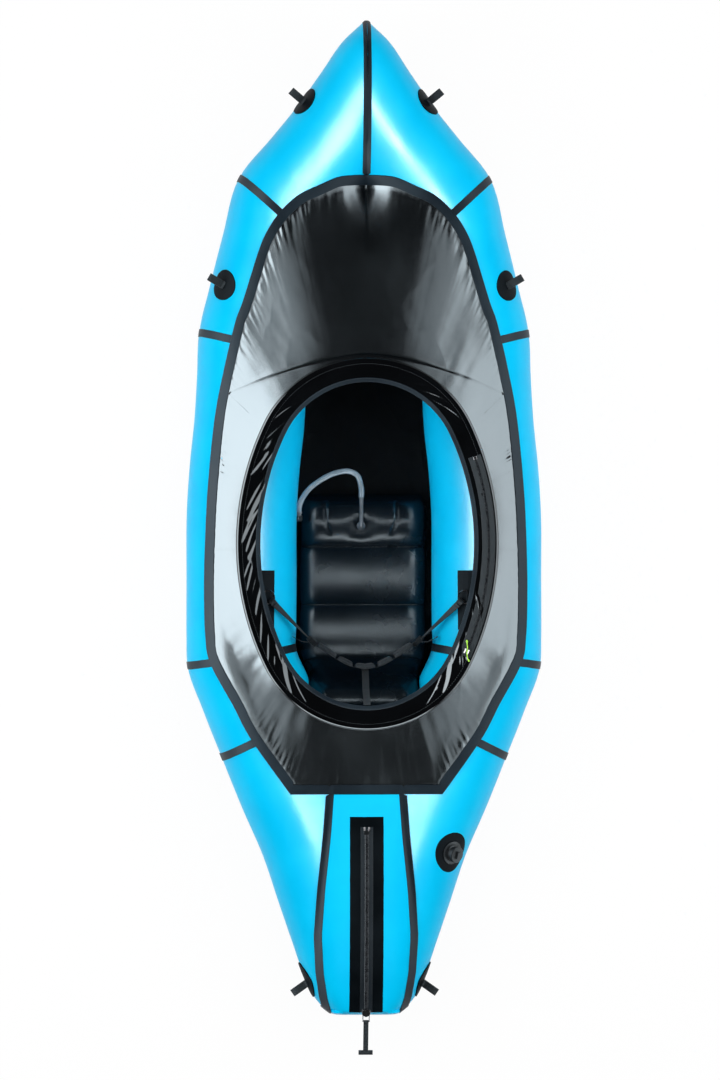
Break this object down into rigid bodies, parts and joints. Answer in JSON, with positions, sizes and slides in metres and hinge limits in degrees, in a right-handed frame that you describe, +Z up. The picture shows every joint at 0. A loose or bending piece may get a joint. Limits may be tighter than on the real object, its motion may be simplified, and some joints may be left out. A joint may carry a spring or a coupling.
{
  "type": "packraft",
  "caption": "Inflatable one-person boat with pointed ends, a fixed spray deck, an oval coaming, a cargo zip, an inflatable seat and a backband.",
  "frame": {"origin": "on the ground, under the middle of the boat's length and beam", "axes": "+Y towards the bow, +X to starboard, +Z up"},
  "size_m": [0.936, 2.7052, 0.3749],
  "materials": {
    "hull_fabric": "coated nylon, satin",
    "seam_tape": "coated, matte",
    "deck_fabric": "coated nylon, satin",
    "floor_fabric": "coated, matte",
    "coaming_vinyl": "glossy vinyl",
    "webbing": "woven",
    "seat_fabric": "coated nylon, satin",
    "black_plastic": "moulded, satin",
    "nickel_metal": "nickel plated",
    "grey_stem": "moulded, satin",
    "clear_hose": "clear vinyl",
    "green_cord": "braided"
  },
  "bodies": {
    "hull": {"anchor_patch_port": "webbing", "anchor_patch_starboard": "webbing", "backband_centre_strap": "webbing", "bow_centre_tape": "seam_tape", "bow_loop_port": "webbing", "bow_loop_starboard": "webbing", "bow_seam_tape_port": "seam_tape", "bow_seam_tape_starboard": "seam_tape", "bow_tube_port": "hull_fabric", "bow_tube_starboard": "hull_fabric", "cargo_zip_chain": "webbing", "cargo_zip_patch": "seam_tape", "coaming_binding": "seam_tape", "coaming_hoop": "black_plastic", "coaming_sleeve": "coaming_vinyl", "coaming_zip_tape": "webbing", "deck_perimeter_tape": "seam_tape", "floor_sheet": "floor_fabric", "foredeck": "deck_fabric", "main_valve_body": "black_plastic", "main_valve_patch": "webbing", "mid_deck": "deck_fabric", "mid_loop_port": "webbing", "mid_loop_starboard": "webbing", "mouth_valve_body": "grey_stem", "quarter_seam_tape_port": "seam_tape", "quarter_seam_tape_starboard": "seam_tape", "quarter_tube_port": "hull_fabric", "quarter_tube_starboard": "hull_fabric", "rear_deck": "deck_fabric", "seat_cushion": "seat_fabric", "seat_hose": "clear_hose", "seat_stem": "grey_stem", "shoulder_seam_tape_port": "seam_tape", "shoulder_seam_tape_starboard": "seam_tape", "shoulder_tube_port": "hull_fabric", "shoulder_tube_starboard": "hull_fabric", "side_tube_port": "hull_fabric", "side_tube_starboard": "hull_fabric", "stern_centre_panel": "hull_fabric", "stern_loop_port": "webbing", "stern_loop_starboard": "webbing", "stern_seam_tape_port": "seam_tape", "stern_seam_tape_starboard": "seam_tape", "stern_tape_port": "seam_tape", "stern_tape_starboard": "seam_tape", "stern_tube_port": "hull_fabric", "stern_tube_starboard": "hull_fabric"},
    "cargo_slider": {"cargo_zip_slider": "nickel_metal"},
    "cargo_pull": {"cargo_pull_link": "nickel_metal", "cargo_pull_tab": "webbing"},
    "coaming_slider": {"coaming_zip_slider": "nickel_metal", "coaming_pull_cord": "green_cord"},
    "main_valve_cap": {"main_valve_cap": "black_plastic"},
    "mouth_valve_cap": {"mouth_valve_cap": "black_plastic"},
    "backband": {"backband": "webbing", "backband_strap_port": "webbing", "backband_strap_starboard": "webbing"},
    "d_ring_port": {"d_ring_port": "nickel_metal"},
    "d_ring_starboard": {"d_ring_starboard": "nickel_metal"}
  },
  "joints": [
    {"name": "cargo_zip_travel", "type": "hinge", "parent": "hull", "child": "cargo_slider", "pos_m": [0, -0.93002, -0.88437], "axis": [1, 0, 0], "range_deg": [-21.81, 0]},
    {"name": "cargo_pull_swing", "type": "hinge", "parent": "cargo_slider", "child": "cargo_pull", "pos_m": [0, -1.29685, 0.26778], "axis": [1, 0, 0], "range_deg": [-100, 0]},
    {"name": "coaming_zip_travel", "type": "hinge", "parent": "hull", "child": "coaming_slider", "pos_m": [-0.38644, -0.066, 0.347], "axis": [0, -0.0419, 0.9991], "range_deg": [0, 41.23]},
    {"name": "main_valve_cap_turn", "type": "hinge", "parent": "hull", "child": "main_valve_cap", "pos_m": [0.22562, -0.87356, 0.25669], "axis": [0.6212, -0.2241, 0.7509], "range_deg": [0, 90]},
    {"name": "mouth_valve_cap_turn", "type": "hinge", "parent": "hull", "child": "mouth_valve_cap", "pos_m": [-0.17049, 0.01927, 0.11826], "axis": [0.0067, -0.9939, -0.1104], "range_deg": [0, 180]},
    {"name": "backband_swing", "type": "hinge", "parent": "hull", "child": "backband", "pos_m": [0, -0.21545, 0.28442], "axis": [1, 0, 0], "range_deg": [-12, 0], "deforming": ["backband_centre_strap"]},
    {"name": "d_ring_port_swing", "type": "hinge", "parent": "hull", "child": "d_ring_port", "pos_m": [-0.26427, -0.20388, 0.28642], "axis": [0.006, 1, 0], "range_deg": [-4, 0]},
    {"name": "d_ring_starboard_swing", "type": "hinge", "parent": "hull", "child": "d_ring_starboard", "pos_m": [0.26427, -0.20388, 0.28642], "axis": [0.006, -1, 0], "range_deg": [-4, 0]}
  ]
}
